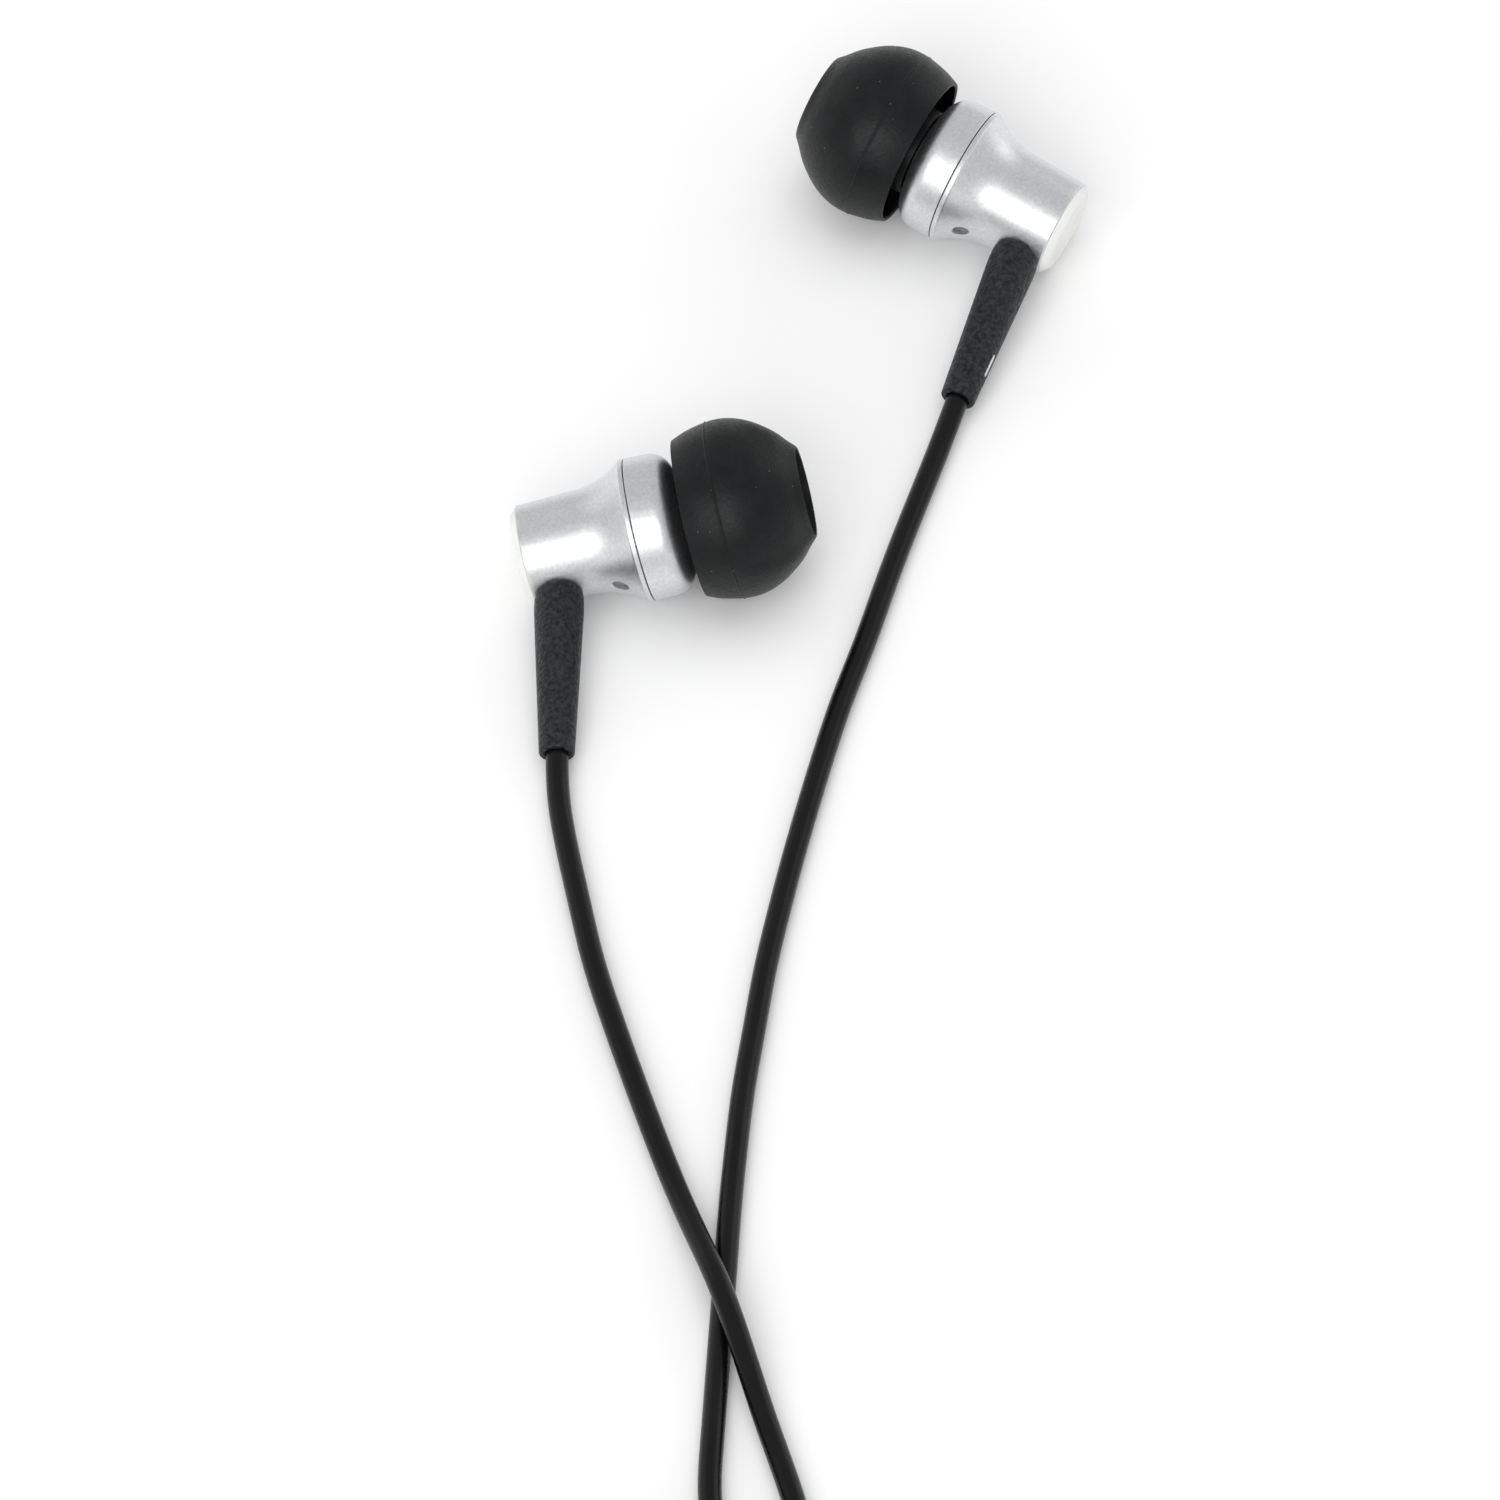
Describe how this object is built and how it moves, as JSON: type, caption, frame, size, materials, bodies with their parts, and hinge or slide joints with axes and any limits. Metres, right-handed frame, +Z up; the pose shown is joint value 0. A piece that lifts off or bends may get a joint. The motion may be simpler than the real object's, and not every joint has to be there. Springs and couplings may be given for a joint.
{
  "type": "wired earphones",
  "caption": "In-ear earphones with satin metal housings, silicone tips and rubber strain reliefs, on thin leads that join at a splitter and run to a headphone plug.",
  "frame": {"origin": "on the table, under the middle of the two earpieces", "axes": "+Z up from the table, +Y away from the viewer, +X to the viewer's right, and the plug's contacts point along -Y"},
  "size_m": [0.0497, 0.1892, 0.0129],
  "materials": {
    "silver_shell": "fine-blasted satin, clear anodised",
    "cap_plastic": "satin off-white",
    "silicone": "matte, soft",
    "relief_rubber": "matte, fine grain",
    "lead_pvc": "soft gloss",
    "steel_mesh": "woven fine mesh",
    "plated_steel": "zinc plated",
    "magnet": "nickel plated",
    "copper": "enamelled copper wire",
    "film": "thin polyester film",
    "driver_plastic": "moulded",
    "felt": "felt",
    "board": "laminate",
    "wire_enamel": "enamelled strands",
    "moulded_black": "fine satin texture",
    "contact_gold": "gold plated, polished",
    "insulator": "glossy",
    "tie_rubber": "matte"
  },
  "bodies": {
    "earphones": {"left_front_housing": "silver_shell", "left_nozzle_mesh": "steel_mesh", "left_rear_housing": "silver_shell", "left_end_cap": "cap_plastic", "left_vent_screen": "steel_mesh", "left_driver_cover": "steel_mesh", "left_driver_frame": "driver_plastic", "left_driver_top_plate": "plated_steel", "left_driver_magnet": "magnet", "left_driver_yoke": "plated_steel", "left_driver_damper": "felt", "left_terminal_board": "board", "left_inner_wires": "wire_enamel", "left_lead_anchor": "lead_pvc", "left_strain_relief": "relief_rubber", "right_front_housing": "silver_shell", "right_nozzle_mesh": "steel_mesh", "right_rear_housing": "silver_shell", "right_end_cap": "cap_plastic", "right_vent_screen": "steel_mesh", "right_driver_cover": "steel_mesh", "right_driver_frame": "driver_plastic", "right_driver_top_plate": "plated_steel", "right_driver_magnet": "magnet", "right_driver_yoke": "plated_steel", "right_driver_damper": "felt", "right_terminal_board": "board", "right_inner_wires": "wire_enamel", "right_lead_anchor": "lead_pvc", "right_strain_relief": "relief_rubber", "left_lead": "lead_pvc", "right_lead": "lead_pvc", "lead_coil": "lead_pvc", "lead_tie": "tie_rubber", "left_lead_end": "lead_pvc", "right_lead_end": "lead_pvc", "splitter": "moulded_black", "splitter_relief": "moulded_black", "main_lead": "lead_pvc", "main_coil": "lead_pvc", "main_tie": "tie_rubber", "main_lead_end": "lead_pvc", "plug_relief": "moulded_black", "plug_grip": "moulded_black", "plug_collar": "contact_gold", "plug_sleeve": "contact_gold", "plug_ring": "contact_gold", "plug_tip": "contact_gold", "plug_insulators": "insulator"},
    "left_tip": {"left_ear_tip": "silicone"},
    "right_tip": {"right_ear_tip": "silicone"},
    "left_cone": {"left_diaphragm": "film", "left_voice_coil": "copper"},
    "right_cone": {"right_diaphragm": "film", "right_voice_coil": "copper"}
  },
  "joints": [
    {"name": "left_tip_slide", "type": "slide", "parent": "earphones", "child": "left_tip", "axis": [0.9709, 0.1192, 0.2079], "range_m": [0, 0.006]},
    {"name": "left_cone_travel", "type": "slide", "parent": "earphones", "child": "left_cone", "axis": [0.9709, 0.1192, 0.2079], "range_m": [-0.00015, 0.00015], "stiffness_N_per_m": 16},
    {"name": "right_tip_slide", "type": "slide", "parent": "earphones", "child": "right_tip", "axis": [-0.8695, 0.4623, 0.1736], "range_m": [0, 0.006]},
    {"name": "right_cone_travel", "type": "slide", "parent": "earphones", "child": "right_cone", "axis": [-0.8695, 0.4623, 0.1736], "range_m": [-0.00015, 0.00015], "stiffness_N_per_m": 16}
  ]
}
